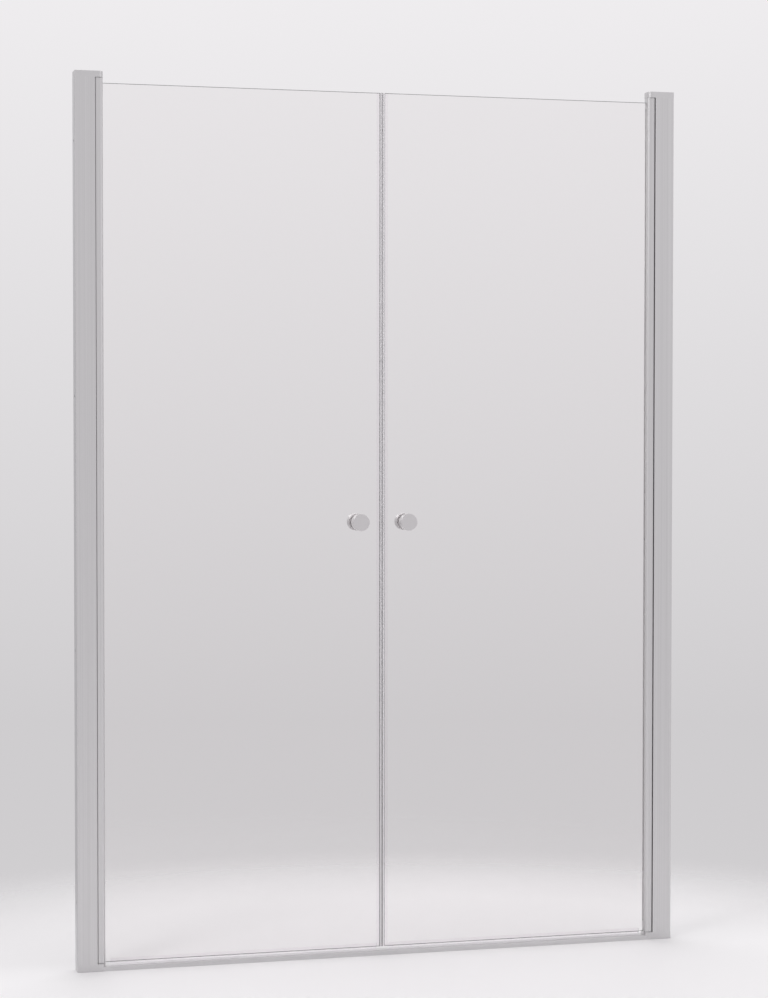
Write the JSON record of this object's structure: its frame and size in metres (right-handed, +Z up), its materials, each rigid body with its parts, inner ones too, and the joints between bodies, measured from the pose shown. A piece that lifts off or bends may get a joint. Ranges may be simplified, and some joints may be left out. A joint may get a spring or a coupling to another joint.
{
  "type": "saloon shower door",
  "caption": "Niche shower door with clear glass leaves that swing both ways on slim hinge posts, turned knobs, clear seals and a flat threshold strip.",
  "frame": {"origin": "on the floor, in the middle of the doorway and of the glass thickness", "axes": "+X to the right seen from outside the shower, +Y into the shower, +Z up"},
  "size_m": [1.378, 0.059, 1.95],
  "materials": {
    "satin_aluminium": "satin anodised",
    "mill_aluminium": "mill",
    "satin_metal": "cast, satin",
    "chrome": "satin chrome plate",
    "stainless_steel": "turned",
    "clear_glass": "polished",
    "clear_vinyl": "clear extruded vinyl",
    "grey_vinyl": "soft extruded vinyl",
    "magnet_rubber": "white skin",
    "dark_rubber": "matte",
    "grey_plastic": "moulded, silver",
    "acetal": "moulded"
  },
  "bodies": {
    "frame": {"left_wall_channel": "mill_aluminium", "left_hinge_post": "satin_aluminium", "left_hinge_gap_seal": "dark_rubber", "left_top_pivot_block": "satin_metal", "left_bottom_pivot_block": "satin_metal", "left_top_bush": "acetal", "left_bottom_bush": "acetal", "left_thrust_washer": "acetal", "right_wall_channel": "mill_aluminium", "right_hinge_post": "satin_aluminium", "right_hinge_gap_seal": "dark_rubber", "right_top_pivot_block": "satin_metal", "right_bottom_pivot_block": "satin_metal", "right_top_bush": "acetal", "right_bottom_bush": "acetal", "right_thrust_washer": "acetal", "block_screws": "stainless_steel", "locking_screws": "stainless_steel", "locking_screw_caps": "grey_plastic", "threshold_rail": "satin_aluminium", "threshold_end_caps": "grey_plastic"},
    "left_leaf": {"left_pivot_profile": "satin_aluminium", "left_top_end_plug": "grey_plastic", "left_bottom_end_plug": "grey_plastic", "left_top_pivot_pin": "stainless_steel", "left_bottom_pivot_pin": "stainless_steel", "left_glass_pane": "clear_glass", "left_glazing_gasket": "grey_vinyl", "left_closing_seal": "clear_vinyl", "left_magnet_strip": "magnet_rubber", "left_bottom_seal": "clear_vinyl", "left_outer_knob": "chrome", "left_inner_knob": "chrome", "left_knob_stud": "stainless_steel", "left_knob_washers": "clear_vinyl", "left_knob_sleeve": "acetal"},
    "right_leaf": {"right_pivot_profile": "satin_aluminium", "right_top_end_plug": "grey_plastic", "right_bottom_end_plug": "grey_plastic", "right_top_pivot_pin": "stainless_steel", "right_bottom_pivot_pin": "stainless_steel", "right_glass_pane": "clear_glass", "right_glazing_gasket": "grey_vinyl", "right_closing_seal": "clear_vinyl", "right_magnet_strip": "magnet_rubber", "right_bottom_seal": "clear_vinyl", "right_outer_knob": "chrome", "right_inner_knob": "chrome", "right_knob_stud": "stainless_steel", "right_knob_washers": "clear_vinyl", "right_knob_sleeve": "acetal"}
  },
  "joints": [
    {"name": "left_leaf_swing", "type": "hinge", "parent": "frame", "child": "left_leaf", "pos_m": [-0.63287, 0, 0], "axis": [0, 0, 1], "range_deg": [-90, 90]},
    {"name": "right_leaf_swing", "type": "hinge", "parent": "frame", "child": "right_leaf", "pos_m": [0.63287, 0, 0], "axis": [0, 0, -1], "range_deg": [-90, 90]}
  ]
}
